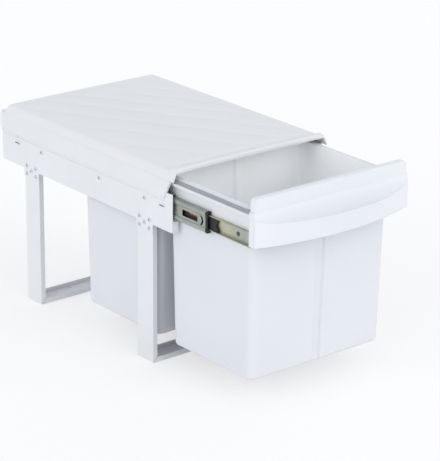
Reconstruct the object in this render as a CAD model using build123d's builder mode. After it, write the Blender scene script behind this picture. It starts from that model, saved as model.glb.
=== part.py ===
from build123d import *
import os
from math import cos, radians, sin, sqrt

# A pull out bin frame: two bins ride in a drawer on ball bearing slides, inside a floor-standing frame
# with a fixed lid. Millimetres; +Z up, the handle faces -Y, left is -X. The drawer is partly pulled out.
# Pieces are modelled on the left side, and their twins are mirrored across the middle plane.

os.makedirs("parts", exist_ok=True)

# Frame and stance
frame_width = 328.0
panel_length = 500.0
panel_height = 90.0
panel_bottom = 252.0
panel_sheet = 1.5
panel_corner = 6.0
overrun = 2.0
running_gap = 0.3

# Drawer stroke, how far it stands out of its closed place, and the gap it keeps when closed
drawer_travel = 440.0
drawer_out = 188.0
closed_gap = 8.5

# Fascia
fascia_overhang = 1.0
fascia_bottom = 288.0
plate_inset = 2.5
plate_top = 368.0
plate_depth = 10.5
plate_corner = 7.0
bow_root = 14.5
bow_rise = 39.5
bow_lean = 13.0
grip_height = 40.0
junction_level = 345.0
shell_wall = 3.0
shelf_rises = (
    (-1.0, 20.0),
    (1.5, 12.0),
    (5.0, 7.0),
    (12.0, 2.5),
    (23.0, -0.8),
    (34.0, -1.2),
    (43.5, 0.0),
    (60.0, 4.0),
)

# Rear tie bar
tie_height = 30.0
tie_depth = 3.5
tie_sheet = 1.2
rear_flange = 13.0
tie_rivet_inset = 7.0
tie_rivet_spread = 16.0

# The origin lies under the middle of the whole object, so the frame's own middle is behind it
bow_reach = bow_root + bow_rise
frame_middle = (drawer_out + closed_gap + bow_reach - tie_depth) / 2
panel_front = frame_middle - panel_length / 2
panel_rear = frame_middle + panel_length / 2
panel_top = panel_bottom + panel_height
outer_face = frame_width / 2
inner_face = outer_face - panel_sheet
fascia_width = frame_width + 2 * fascia_overhang
plate_width = fascia_width - 2 * plate_inset
fascia_back = panel_front - drawer_out - closed_gap

# Side panel
lug_drop = 15.5
lug_overlap = 1.0
front_step_height = 67.0
front_step_back = 15.0
front_cut_back = 5.0
front_cut_drop = 5.0
tab_width = 13.0
tab_height = 19.0
top_flange = 6.5
slot_length = 14.0
slot_height = 3.0
slot_lip = 1.2
slot_from_end = 28.0
rear_slot_from_end = 49.0
pin_hole_radius = 1.5
pin_hole_rise = 12.0

# Top rail outside the panel
rail_proud = 3.0
rail_height = 39.0
rail_taper = 10.0
rail_rear_corner = 5.0

# Leg frames
leg_width = 43.0
leg_sheet = 1.5
leg_flange = 9.0
leg_top = 268.0
leg_corner = 2.0
front_leg_from_front = 76.0
rear_leg_from_rear = 90.5
mitre_gap = 0.8
foot_hole_radius = 2.5
foot_hole_spacing = 152.0
foot_hole_shift = 12.0

# Blind rivets
rivet_head_radius = 3.9
rivet_head = 1.4
rivet_head_taper = 35.0
rivet_shank_radius = 2.4
rivet_clearance = 0.05
rivet_bore_radius = 1.3
rivet_tail_radius = 3.3
rivet_tail = 2.6
rivet_spread = 27.0
rivet_row_gap = 15.0
rivet_row_above = 6.2
flat_tail = 0.5

# Ball bearing slides, measured across from the panel's inner face and up from the slide's axis
slide_axis = 294.0
slide_sheet = 1.2
slide_length = 450.0
slide_from_front = 8.0
slide_depth = 12.7
outer_half = 22.5
outer_flange = 12.2
outer_lip = 2.4
middle_half = 18.2
middle_wall = 2.4
middle_web_place = 3.5
middle_edge = 11.2
middle_length = 435.0
middle_from_front = 13.5
inner_half = 12.7
inner_edge = 6.3
inner_from_front = -1.0
slide_round = 0.9
slide_rivet_step = 128.0
slide_rivet_far = 173.0
inner_rivet_shares = (0.078, 0.55, 0.95)

# Balls and their cages
ball_radius = 2.0
ball_groove = 0.2
ball_pocket = 0.15
outer_ball_place = 6.5
inner_ball_place = 8.6
ball_count = 12
ball_pitch = 15.0
cage_sheet = 0.8
cage_web_gap = 0.8
cage_end = 7.5
outer_cage_edge = 9.2
inner_cage_web_gap = 0.4
inner_cage_edge = 11.0
outer_cage_share = 0.25
inner_cage_share = 0.75

# Window, tongue slot and bumper at the middle member's front end
window_length = 40.0
window_height = 11.0
window_corner = 1.5
window_from_end = 20.5
tongue_from_end = 10.5
tongue_height = 22.0
tongue_width = 4.2
tongue_bow = 3.0
bumper_length = 5.0
bumper_plate = 2.0
bumper_clearance = 0.5

# Release lever and its leaf spring in the inner member's channel
lever_length = 96.0
lever_front_from_end = 81.0
lever_thick = 3.4
lever_head_length = 25.0
lever_head_height = 22.0
lever_notch = 5.0
lever_tail_height = 10.0
spring_length = 22.0
spring_height = 4.0
spring_thick = 0.5
spring_from_front = 51.0

# Stop at the slide's rear end
stop_length = 5.0
stop_height = 30.0
stop_depth = 4.6

# Carrier rails and bars
carrier_sheet = 1.2
carrier_bottom = 281.0
carrier_top = 337.0
carrier_flange = 8.2
carrier_lip = 5.0
carrier_rear_overhang = 8.0
bar_height = 34.0
bar_clearance = 2.4
front_bar_bottom = 300.0
front_bar_flange = 5.2

# Grey strip under the bins' side rims
strip_width = 4.6
strip_proud = 1.5

# Bins
bin_top = 345.0
bin_bottom = 41.0
bin_depth_bottom = 204.0
bin_side_gap = 16.0
bin_draft_depth = 8.0
bin_draft_width = 3.0
bin_wall = 2.0
bin_corner = 14.0
bin_foot_round = 7.0
bin_floor_round = 4.0
bin_pitch = 244.0
rim_thick = 2.0
rim_width = 7.5
rim_from_fascia = 1.5
groove_width = 18.0
groove_depth = 3.5

# Lid
lid_front_overhang = 7.0
lid_rear_inset = 12.0
lid_rear_slant = 8.0
lid_skirt_beyond = 4.5
lid_edge_inset = 2.5
lid_seat = 0.3
lid_edge_height = 16.0
lid_crown = 0.8
lid_wall = 2.5
bead_rise = 5.0
bead_flat = 9.0
bead_slope = 14.0
lip_height = 7.5
boss_radius = 2.8
boss_inset = 4.4
boss_from_end = 60.0

# Wavy ribs on the lid
rib_turn = 31.3
rib_valleys = (-301.3, -227.2, -152.5, -86.1, -25.7, 30.1, 82.2, 131.3, 177.7, 222.0, 264.7)
rib_rise = 0.9
rib_share = 0.6
rib_margin = 14.0
rib_rear_margin = 16.0
rib_front_margin = 34.0
rib_wave = 2.4
rib_points = 13

# Screws
screw_head_radius = 2.5
screw_head = 1.8
screw_shank_radius = 1.2
screw_reach = 9.0
fascia_screw_head = 2.0
fascia_screw_radius = 1.8
fascia_screw_head_radius = 3.4
fascia_screw_reach = 6.0
fascia_screw_spread = 220.0
fascia_screw_rise = 12.0
fascia_boss_radius = 4.5


def slab(xs, ys, zs, mode=Mode.ADD):
    """Add or cut a box given by its limits along X, Y and Z."""
    with Locations(((xs[0] + xs[1]) / 2, (ys[0] + ys[1]) / 2, (zs[0] + zs[1]) / 2)):
        Box(abs(xs[1] - xs[0]), abs(ys[1] - ys[0]), abs(zs[1] - zs[0]), mode=mode)


def keep(piece, name):
    """Label a finished piece and write its file."""
    piece.part.label = name
    export_step(piece.part, "parts/" + name + ".step")


def keep_pair(piece, stem):
    """Write a left piece and its twin across the middle plane."""
    keep(piece, "left_" + stem)
    with BuildPart() as twin:
        mirror(piece.part, about=Plane.YZ)
    keep(twin, "right_" + stem)


def across(y):
    """The upright plane across the object at y, looking forward: its own axes are X and Z."""
    return Plane.XZ.offset(-y)


def along(x):
    """The upright plane along the object at x: its own axes are Y and Z."""
    return Plane.YZ.offset(x)


def outline(points):
    """Add a filled outline through the given corners."""
    Polygon(*points)


# Places that several pieces share
front_leg = panel_front + front_leg_from_front
rear_leg = panel_rear - rear_leg_from_rear
leg_places = (front_leg, rear_leg)
rivet_upper = panel_bottom + rivet_row_above
rivet_lower = rivet_upper - rivet_row_gap
leg_rivet_spots = []
for leg in leg_places:
    for side in (-1, 1):
        leg_rivet_spots.append((leg + side * rivet_spread / 2, rivet_upper))
        leg_rivet_spots.append((leg + side * rivet_spread / 2, rivet_lower))
    leg_rivet_spots.append((leg, (rivet_upper + rivet_lower) / 2))
middle_slide_rivet = front_leg + slide_rivet_step
slide_rivet_places = (front_leg, middle_slide_rivet, middle_slide_rivet + slide_rivet_far)
slide_rivet_spots = [(place, slide_axis) for place in slide_rivet_places]
lid_front = panel_front - lid_front_overhang
lid_rear = panel_rear - lid_rear_inset
lid_skirt_half = outer_face + lid_skirt_beyond
lid_edge_half = outer_face - lid_edge_inset
boss_x = outer_face - boss_inset
boss_ends = (lid_front + boss_from_end, lid_rear - boss_from_end)
screw_hole_radius = screw_shank_radius + rivet_clearance
rivet_hole_radius = rivet_shank_radius + rivet_clearance


# Side panels
step_top = panel_bottom + front_step_height
lug_half = leg_width / 2 + lug_overlap
cut_top = panel_top - front_cut_drop
panel_outline = [
    (panel_rear, panel_bottom),
    (rear_leg + lug_half, panel_bottom),
    (rear_leg + lug_half, panel_bottom - lug_drop),
    (rear_leg - lug_half, panel_bottom - lug_drop),
    (rear_leg - lug_half, panel_bottom),
    (front_leg + lug_half, panel_bottom),
    (front_leg + lug_half, panel_bottom - lug_drop),
    (front_leg - lug_half, panel_bottom - lug_drop),
    (front_leg - lug_half, panel_bottom),
    (panel_front, panel_bottom),
    (panel_front, step_top),
    (panel_front + front_step_back, step_top),
    (panel_front + front_cut_back, cut_top),
    (panel_front + front_cut_back, panel_top),
    (panel_rear, panel_top),
]
front_slot = panel_front + slot_from_end
rear_slot = panel_rear - rear_slot_from_end
with BuildPart() as side_panel:
    with BuildSketch(along(-outer_face)) as panel_face:
        outline(panel_outline)
        fillet(panel_face.vertices().sort_by(Axis.X)[-2:].sort_by(Axis.Y)[0], panel_corner)
    extrude(amount=panel_sheet)
    slab((-outer_face, -outer_face + tab_width), (panel_front, panel_front + panel_sheet),
         (panel_bottom, panel_bottom + tab_height))
    slab((-outer_face, -outer_face + top_flange), (panel_front + front_cut_back, panel_rear),
         (panel_top - panel_sheet, panel_top))
    slab((-outer_face, -outer_face + rear_flange), (panel_rear - panel_sheet, panel_rear),
         (panel_top - tie_height, panel_top))
    with BuildSketch(across(panel_rear)):
        with Locations((-outer_face + tie_rivet_inset, panel_top - tie_height / 2 - tie_rivet_spread / 2),
                       (-outer_face + tie_rivet_inset, panel_top - tie_height / 2 + tie_rivet_spread / 2)):
            Circle(rivet_hole_radius)
    extrude(amount=panel_sheet, mode=Mode.SUBTRACT)
    with BuildSketch(along(-outer_face)):
        with Locations(*leg_rivet_spots, *slide_rivet_spots):
            Circle(rivet_hole_radius)
        with Locations((rear_slot, slide_axis + pin_hole_rise)):
            Circle(pin_hole_radius)
    extrude(amount=panel_sheet, mode=Mode.SUBTRACT)
    for slot in (front_slot, rear_slot):
        with BuildSketch(along(-outer_face - slot_lip)):
            with Locations((slot, slide_axis)):
                SlotOverall(slot_length + 2 * slot_lip, slot_height + 2 * slot_lip)
        extrude(amount=slot_lip + panel_sheet)
        with BuildSketch(along(-outer_face - slot_lip)):
            with Locations((slot, slide_axis - slot_lip / 2)):
                SlotOverall(slot_length, slot_height)
        extrude(amount=slot_lip + panel_sheet, mode=Mode.SUBTRACT)
    with BuildSketch(Plane.XY.offset(panel_top)):
        with Locations((-boss_x, boss_ends[0]), (-boss_x, boss_ends[1])):
            Circle(screw_hole_radius)
    extrude(amount=-panel_sheet, mode=Mode.SUBTRACT)
keep_pair(side_panel, "side_panel")


# Top rails, tapering into the panel's face at their lower edge
rail_bottom = panel_top - rail_height
with BuildPart() as top_rail:
    with BuildSketch(across(panel_rear)):
        outline([
            (-outer_face, panel_top),
            (-outer_face - rail_proud, panel_top),
            (-outer_face - rail_proud, rail_bottom + rail_taper),
            (-outer_face, rail_bottom),
        ])
    extrude(amount=panel_length)
    slant = (cut_top - step_top) / (front_step_back - front_cut_back)
    with BuildSketch(along(-outer_face - rail_proud)):
        outline([
            (panel_front - overrun, panel_top + overrun),
            (panel_front + front_cut_back, panel_top + overrun),
            (panel_front + front_cut_back, cut_top),
            (panel_front + front_step_back + (step_top - rail_bottom + overrun) / slant,
             rail_bottom - overrun),
            (panel_front - overrun, rail_bottom - overrun),
        ])
    extrude(amount=rail_proud, mode=Mode.SUBTRACT)
    with BuildSketch(along(-outer_face - rail_proud)):
        with Locations((rear_slot, slide_axis + pin_hole_rise)):
            Circle(pin_hole_radius)
    extrude(amount=rail_proud, mode=Mode.SUBTRACT)
    rear_top = top_rail.edges().filter_by(Axis.X).group_by(Axis.Y)[-1].sort_by(Axis.Z)[-1]
    fillet(rear_top, rail_rear_corner)
keep_pair(top_rail, "top_rail")


# Leg frames: a channel down one side, across the floor and up the other side
for leg, name in ((front_leg, "front_leg_frame"), (rear_leg, "rear_leg_frame")):
    leg_front = leg - leg_width / 2
    leg_rear = leg + leg_width / 2
    with BuildPart() as leg_frame:
        slab((-inner_face, inner_face), (leg_front, leg_rear), (0, leg_sheet))
        for side in (-1, 1):
            slab((side * inner_face, side * (inner_face - leg_sheet)), (leg_front, leg_rear), (0, leg_top))
        for edge in (leg_front, leg_rear - leg_sheet):
            slab((-inner_face, inner_face), (edge, edge + leg_sheet), (0, leg_flange))
            for side in (-1, 1):
                slab((side * inner_face, side * (inner_face - leg_flange)), (edge, edge + leg_sheet),
                     (0, leg_top))
        upright_ends = leg_frame.edges().filter_by(Axis.Y).group_by(Axis.Z)[0]
        fillet(upright_ends, leg_corner)
        with BuildSketch(across(leg_rear)):
            for side in (-1, 1):
                outline([
                    (side * (inner_face - leg_sheet), leg_sheet + mitre_gap),
                    (side * (inner_face - leg_sheet - mitre_gap), leg_sheet),
                    (side * (inner_face - leg_flange - mitre_gap), leg_flange),
                    (side * (inner_face - leg_flange), leg_flange + mitre_gap),
                ])
        extrude(amount=leg_width, mode=Mode.SUBTRACT)
        with BuildSketch(Plane.XY):
            with Locations((-foot_hole_spacing / 2, leg + foot_hole_shift),
                           (foot_hole_spacing / 2, leg + foot_hole_shift)):
                Circle(foot_hole_radius)
        extrude(amount=leg_sheet, mode=Mode.SUBTRACT)
        with BuildSketch(along(-outer_face)):
            with Locations(*[spot for spot in leg_rivet_spots if leg_front < spot[0] < leg_rear]):
                Circle(rivet_hole_radius)
        extrude(amount=frame_width, mode=Mode.SUBTRACT)
    keep(leg_frame, name)


# Blind rivets through panel and leg, and flat-tailed ones through panel and slide
with BuildPart() as leg_rivets:
    with BuildSketch(along(-outer_face)):
        with Locations(*leg_rivet_spots):
            Circle(rivet_shank_radius)
    extrude(amount=panel_sheet + leg_sheet)
    with BuildSketch(along(-outer_face)):
        with Locations(*leg_rivet_spots):
            Circle(rivet_head_radius)
    extrude(amount=-rivet_head, taper=rivet_head_taper)
    with BuildSketch(along(-outer_face + panel_sheet + leg_sheet)):
        with Locations(*leg_rivet_spots):
            Circle(rivet_tail_radius)
    extrude(amount=rivet_tail)
    with BuildSketch(along(-outer_face - rivet_head)):
        with Locations(*leg_rivet_spots):
            Circle(rivet_bore_radius)
    extrude(amount=rivet_head + panel_sheet, mode=Mode.SUBTRACT)
keep_pair(leg_rivets, "leg_rivets")

with BuildPart() as slide_rivets:
    with BuildSketch(along(-outer_face)):
        with Locations(*slide_rivet_spots):
            Circle(rivet_shank_radius)
    extrude(amount=panel_sheet + slide_sheet)
    with BuildSketch(along(-outer_face)):
        with Locations(*slide_rivet_spots):
            Circle(rivet_head_radius)
    extrude(amount=-rivet_head, taper=rivet_head_taper)
    with BuildSketch(along(-inner_face + slide_sheet)):
        with Locations(*slide_rivet_spots):
            Circle(rivet_tail_radius)
    extrude(amount=flat_tail)
    with BuildSketch(along(-outer_face - rivet_head)):
        with Locations(*slide_rivet_spots):
            Circle(rivet_bore_radius)
    extrude(amount=rivet_head + panel_sheet, mode=Mode.SUBTRACT)
keep_pair(slide_rivets, "slide_rivets")


# Rear tie bar across the back of the side panels, and its rivets
tie_bottom = panel_top - tie_height
tie_middle = tie_bottom + tie_height / 2
tie_rivet_spots = [(side * (outer_face - tie_rivet_inset), tie_middle + end * tie_rivet_spread / 2)
                   for side in (-1, 1) for end in (-1, 1)]
tie_rear = panel_rear + tie_depth
with BuildPart() as tie_bar:
    slab((-outer_face, outer_face), (panel_rear, tie_rear), (tie_bottom, panel_top))
    slab((-outer_face - overrun, outer_face + overrun), (panel_rear + tie_sheet, tie_rear + overrun),
         (tie_bottom + tie_sheet, panel_top - tie_sheet), mode=Mode.SUBTRACT)
    low_corner = tie_bar.edges().filter_by(Axis.X).group_by(Axis.Y)[0].sort_by(Axis.Z)[0]
    fillet(low_corner, tie_sheet / 2)
    with BuildSketch(across(panel_rear)):
        with Locations(*tie_rivet_spots):
            Circle(rivet_hole_radius)
    extrude(amount=-tie_sheet, mode=Mode.SUBTRACT)
keep(tie_bar, "rear_tie_bar")

with BuildPart() as tie_rivets:
    with BuildSketch(across(panel_rear + tie_sheet)):
        with Locations(*tie_rivet_spots):
            Circle(rivet_shank_radius)
    extrude(amount=tie_sheet + panel_sheet)
    with BuildSketch(across(panel_rear + tie_sheet)):
        with Locations(*tie_rivet_spots):
            Circle(rivet_head_radius)
    extrude(amount=-rivet_head, taper=rivet_head_taper)
    with BuildSketch(across(panel_rear - panel_sheet)):
        with Locations(*tie_rivet_spots):
            Circle(rivet_tail_radius)
    extrude(amount=rivet_tail)
keep(tie_rivets, "tie_bar_rivets")


# Slide members, as outlines of (across, up) from the panel's inner face and the slide's axis
def member_outline(points):
    """Both halves of a slide member's section, from its upper half's corners."""
    upper = [(-inner_face + u, slide_axis + w) for u, w in points]
    lower = [(-inner_face + u, slide_axis - w) for u, w in reversed(points)]
    outline(upper + lower)


def ball_tracks(place, height, rear, length):
    """The two round tracks of one cage's balls, above and below the axis, to be cut."""
    with BuildPart() as tracks:
        with BuildSketch(across(rear + overrun)):
            with Locations((-inner_face + place, slide_axis + height),
                           (-inner_face + place, slide_axis - height)):
                Circle(ball_radius + ball_groove)
        extrude(amount=length + 2 * overrun)
    return tracks.part


outer_ball_height = (middle_half + outer_half - slide_sheet) / 2
middle_inside = middle_half - middle_wall
inner_ball_height = (middle_inside + inner_half) / 2
outer_front = panel_front + slide_from_front
outer_rear = outer_front + slide_length
middle_front = panel_front + middle_from_front - drawer_out / 2
middle_rear = middle_front + middle_length
inner_front = panel_front + inner_from_front - drawer_out
inner_rear = inner_front + slide_length
middle_web = middle_web_place + slide_sheet

with BuildPart() as slide_outer:
    with BuildSketch(across(outer_rear)) as section:
        member_outline([
            (slide_sheet, outer_half - slide_sheet),
            (outer_flange - slide_sheet, outer_half - slide_sheet),
            (outer_flange - slide_sheet, outer_half - slide_sheet - outer_lip),
            (outer_flange, outer_half - slide_sheet - outer_lip),
            (outer_flange, outer_half),
            (0, outer_half),
        ])
        bends = section.vertices().group_by(Axis.Y)
        fillet(bends[0] + bends[-1], slide_round)
    extrude(amount=slide_length)
    add(ball_tracks(outer_ball_place, outer_ball_height, outer_rear, slide_length), mode=Mode.SUBTRACT)
    with BuildSketch(along(-inner_face)):
        with Locations(*slide_rivet_spots):
            Circle(rivet_hole_radius)
    extrude(amount=slide_sheet, mode=Mode.SUBTRACT)
keep_pair(slide_outer, "slide_outer")

window_middle = middle_front + window_from_end + window_length / 2
with BuildPart() as slide_middle:
    with BuildSketch(across(middle_rear)) as section:
        member_outline([
            (middle_web, middle_inside),
            (middle_edge, middle_inside),
            (middle_edge, middle_half),
            (middle_web_place, middle_half),
        ])
        bends = section.vertices().group_by(Axis.Y)
        fillet(bends[0] + bends[-1], slide_round)
    extrude(amount=middle_length)
    add(ball_tracks(outer_ball_place, outer_ball_height, middle_rear, middle_length), mode=Mode.SUBTRACT)
    add(ball_tracks(inner_ball_place, inner_ball_height, middle_rear, middle_length), mode=Mode.SUBTRACT)
    with BuildSketch(along(-inner_face + middle_web_place)):
        with Locations((window_middle, slide_axis)):
            RectangleRounded(window_length, window_height, window_corner)
    extrude(amount=slide_sheet, mode=Mode.SUBTRACT)
    tongue = middle_front + tongue_from_end
    with BuildSketch(along(-inner_face + middle_web_place)):
        with BuildLine():
            Spline(
                (tongue, slide_axis + tongue_height / 2),
                (tongue - tongue_bow, slide_axis + tongue_height / 4),
                (tongue, slide_axis),
                (tongue - tongue_bow, slide_axis - tongue_height / 4),
                (tongue, slide_axis - tongue_height / 2),
            )
        trace(line_width=tongue_width)
    extrude(amount=slide_sheet, mode=Mode.SUBTRACT)
keep_pair(slide_middle, "slide_middle")

inner_rivet_spots = [(inner_front + share * slide_length, slide_axis) for share in inner_rivet_shares]
with BuildPart() as slide_inner:
    with BuildSketch(across(inner_rear)) as section:
        member_outline([
            (slide_depth - slide_sheet, inner_half - slide_sheet),
            (inner_edge, inner_half - slide_sheet),
            (inner_edge, inner_half),
            (slide_depth, inner_half),
        ])
        fillet(section.vertices().group_by(Axis.X)[-1], slide_round)
    extrude(amount=slide_length)
    add(ball_tracks(inner_ball_place, inner_ball_height, inner_rear, slide_length), mode=Mode.SUBTRACT)
    with BuildSketch(along(-inner_face + slide_depth)):
        with Locations(*inner_rivet_spots):
            Circle(rivet_hole_radius)
    extrude(amount=-slide_sheet, mode=Mode.SUBTRACT)
keep_pair(slide_inner, "slide_inner")


# Ball cages and balls; a cage moves half as far as the member that runs on its balls
cage_length = (ball_count - 1) * ball_pitch + 2 * cage_end
travel_left = drawer_travel - drawer_out
middle_front_open = middle_front - travel_left / 2
outer_cage_middle = (outer_front + middle_front_open + middle_length) / 2 + outer_cage_share * travel_left
inner_cage_middle = (middle_front_open + inner_rear - travel_left) / 2 + inner_cage_share * travel_left
outer_cage_front = outer_cage_middle - cage_length / 2
inner_cage_front = inner_cage_middle - cage_length / 2


def ball_spots(cage_front, place, height):
    """The ball centres of one cage."""
    spots = []
    for index in range(ball_count):
        for side in (-1, 1):
            spots.append((-inner_face + place, cage_front + cage_end + index * ball_pitch,
                          slide_axis + side * height))
    return spots


outer_cage_web = slide_sheet + cage_web_gap
inner_cage_web = middle_web + inner_cage_web_gap
cages = (
    ("outer_ball_cage", "outer_balls", outer_cage_front, outer_cage_web, outer_cage_edge,
     outer_ball_place, outer_ball_height),
    ("inner_ball_cage", "inner_balls", inner_cage_front, inner_cage_web, inner_cage_edge,
     inner_ball_place, inner_ball_height),
)
for cage_name, balls_name, cage_front, web, edge, place, height in cages:
    spots = ball_spots(cage_front, place, height)
    with BuildPart() as cage:
        with BuildSketch(across(cage_front + cage_length)):
            member_outline([
                (web + cage_sheet, height - cage_sheet / 2),
                (edge, height - cage_sheet / 2),
                (edge, height + cage_sheet / 2),
                (web, height + cage_sheet / 2),
            ])
        extrude(amount=cage_length)
        with Locations(*spots):
            Sphere(ball_radius + ball_pocket, mode=Mode.SUBTRACT)
    keep_pair(cage, cage_name)
    with BuildPart() as balls:
        with Locations(*spots):
            Sphere(ball_radius)
    keep_pair(balls, balls_name)


# Bumper on the middle member's front end, round the inner member's way
bumper_inside = inner_half + bumper_clearance
with BuildPart() as bumper:
    with BuildSketch(across(middle_front)):
        member_outline([
            (middle_web_place + bumper_plate, bumper_inside),
            (middle_edge, bumper_inside),
            (middle_edge, middle_half),
            (middle_web_place, middle_half),
        ])
    extrude(amount=bumper_length)
keep_pair(bumper, "slide_bumper")


# Release lever with a waisted head, and its leaf spring behind the window
lever_front = inner_front + lever_front_from_end
lever_rear = lever_front + lever_length
lever_face = -inner_face + slide_depth - slide_sheet - lever_thick - running_gap
head = lever_head_height / 2
tail = lever_tail_height / 2
with BuildPart() as release_lever:
    with BuildSketch(along(lever_face)):
        with BuildLine():
            Polyline(
                (lever_front + lever_head_length, slide_axis + head),
                (lever_front + lever_head_length + head - tail, slide_axis + tail),
                (lever_rear, slide_axis + tail),
                (lever_rear, slide_axis - tail),
                (lever_front + lever_head_length + head - tail, slide_axis - tail),
                (lever_front + lever_head_length, slide_axis - head),
                (lever_front, slide_axis - head),
            )
            Spline(
                (lever_front, slide_axis - head),
                (lever_front + lever_notch / 2, slide_axis - head / 2),
                (lever_front + lever_notch, slide_axis),
                (lever_front + lever_notch / 2, slide_axis + head / 2),
                (lever_front, slide_axis + head),
            )
            Line((lever_front, slide_axis + head), (lever_front + lever_head_length, slide_axis + head))
        make_face()
    extrude(amount=lever_thick + running_gap)
keep_pair(release_lever, "release_lever")

spring_front = lever_front + spring_from_front
with BuildPart() as lever_spring:
    slab((lever_face - spring_thick, lever_face), (spring_front, spring_front + spring_length),
         (slide_axis + tail - spring_height, slide_axis + tail))
keep_pair(lever_spring, "lever_spring")


# Stop at each slide's rear end
with BuildPart() as rear_stop:
    slab((-inner_face + slide_sheet, -inner_face + slide_sheet + stop_depth),
         (outer_rear - stop_length, outer_rear),
         (slide_axis - stop_height / 2, slide_axis + stop_height / 2))
keep_pair(rear_stop, "rear_stop")


# Bins: tapered tubs with an outward rim and a shallow groove down the front and back
rim_front = fascia_back + carrier_sheet + rim_from_fascia
front_bin_middle = rim_front + rim_width + bin_depth_bottom / 2 + bin_draft_depth
bin_middles = (front_bin_middle, front_bin_middle + bin_pitch)
bin_depth_top = bin_depth_bottom + 2 * bin_draft_depth
bin_width_top = 2 * (inner_face - bin_side_gap)
bin_width_bottom = bin_width_top - 2 * bin_draft_width
rim_under = bin_top - rim_thick


def tub(middle, inset, low, foot_round):
    """A tapered solid up to the bin's top, inset by a wall and rounded at its foot."""
    span = bin_top - bin_bottom
    with BuildPart() as form:
        for level in (low, bin_top):
            rise = (level - bin_bottom) / span
            with BuildSketch(Plane.XY.offset(level)):
                with Locations((0, middle)):
                    RectangleRounded(bin_width_bottom + 2 * bin_draft_width * rise - 2 * inset,
                                     bin_depth_bottom + 2 * bin_draft_depth * rise - 2 * inset,
                                     bin_corner - inset)
        loft()
        fillet(form.faces().sort_by(Axis.Z)[0].edges(), foot_round)
    return form.part


def groove_bars(middle, width, depth, low):
    """Bars with sides at 45 degrees that follow the front and back walls, to cut or to leave standing."""
    span = bin_top - bin_bottom
    with BuildPart() as bars:
        for side in (-1, 1):
            mouth = side * (width / 2 + overrun)
            base = side * (width / 2 - depth)
            for level in (low, bin_top):
                half_depth = bin_depth_bottom / 2 + bin_draft_depth * (level - bin_bottom) / span
                with BuildSketch(Plane.XY.offset(level)):
                    outline([
                        (-mouth, middle + side * (half_depth + overrun)),
                        (mouth, middle + side * (half_depth + overrun)),
                        (base, middle + side * (half_depth - depth)),
                        (-base, middle + side * (half_depth - depth)),
                    ])
            loft()
    return bars.part


for middle, name in zip(bin_middles, ("front_bin", "rear_bin")):
    outer_bars = groove_bars(middle, groove_width, groove_depth, bin_bottom)
    inner_width = groove_width + 2 * sqrt(2) * bin_wall
    inner_bars = groove_bars(middle, inner_width, groove_depth + bin_wall, bin_bottom)
    with BuildPart() as hollow:
        add(tub(middle, bin_wall, bin_bottom + bin_wall, bin_floor_round))
        add(inner_bars, mode=Mode.SUBTRACT)
    with BuildPart() as bin_tub:
        add(tub(middle, 0, bin_bottom, bin_foot_round))
        add(outer_bars, mode=Mode.SUBTRACT)
        with BuildSketch(Plane.XY.offset(rim_under)):
            with Locations((0, middle)):
                RectangleRounded(bin_width_top + 2 * rim_width, bin_depth_top + 2 * rim_width,
                                 bin_corner + rim_width)
        extrude(amount=rim_thick)
        add(hollow.part, mode=Mode.SUBTRACT)
    keep(bin_tub, name)


# Carrier rails: a web beside the bins, a flange over the slide and a lip
web_outside = -inner_face + slide_depth
web_inside = web_outside + carrier_sheet
rim_rear = bin_middles[1] + bin_depth_top / 2 + rim_width
carrier_rear = rim_rear + carrier_rear_overhang
with BuildPart() as carrier_rail:
    slab((web_outside, web_inside), (fascia_back, carrier_rear), (carrier_bottom, carrier_top))
    slab((web_inside, web_inside - carrier_flange - carrier_sheet), (fascia_back, carrier_rear),
         (carrier_top - carrier_sheet, carrier_top))
    flange_edge = web_outside - carrier_flange
    slab((flange_edge, flange_edge + carrier_sheet), (fascia_back, carrier_rear),
         (carrier_top - carrier_lip, carrier_top))
    with BuildSketch(along(web_outside)):
        with Locations(*inner_rivet_spots):
            Circle(rivet_hole_radius)
    extrude(amount=carrier_sheet, mode=Mode.SUBTRACT)
keep_pair(carrier_rail, "carrier_rail")

with BuildPart() as inner_rivets:
    with BuildSketch(along(web_outside - slide_sheet)):
        with Locations(*inner_rivet_spots):
            Circle(rivet_shank_radius)
    extrude(amount=slide_sheet + carrier_sheet)
    with BuildSketch(along(web_outside - slide_sheet)):
        with Locations(*inner_rivet_spots):
            Circle(rivet_head_radius)
    extrude(amount=-rivet_head, taper=rivet_head_taper)
    with BuildSketch(along(web_inside)):
        with Locations(*inner_rivet_spots):
            Circle(rivet_tail_radius)
    extrude(amount=flat_tail)
keep_pair(inner_rivets, "inner_slide_rivets")

with BuildPart() as rim_strip:
    strip_outside = -bin_width_top / 2 - rim_width - strip_proud
    slab((strip_outside, strip_outside + strip_width), (fascia_back + carrier_sheet, carrier_rear),
         (carrier_top, rim_under))
keep_pair(rim_strip, "rim_strip")


# Carrier bars under the bins' front, middle and rear rims
bar_half = -web_inside
with BuildPart() as front_bar:
    slab((-bar_half, bar_half), (fascia_back, fascia_back + carrier_sheet), (front_bar_bottom, rim_under))
    slab((-bar_half, bar_half), (fascia_back, fascia_back + carrier_sheet + front_bar_flange),
         (rim_under - carrier_sheet, rim_under))
    with BuildSketch(across(fascia_back)):
        with Locations((-fascia_screw_spread / 2, front_bar_bottom + fascia_screw_rise),
                       (fascia_screw_spread / 2, front_bar_bottom + fascia_screw_rise)):
            Circle(fascia_screw_radius + rivet_clearance)
    extrude(amount=-carrier_sheet, mode=Mode.SUBTRACT)
keep(front_bar, "carrier_front_bar")

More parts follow.
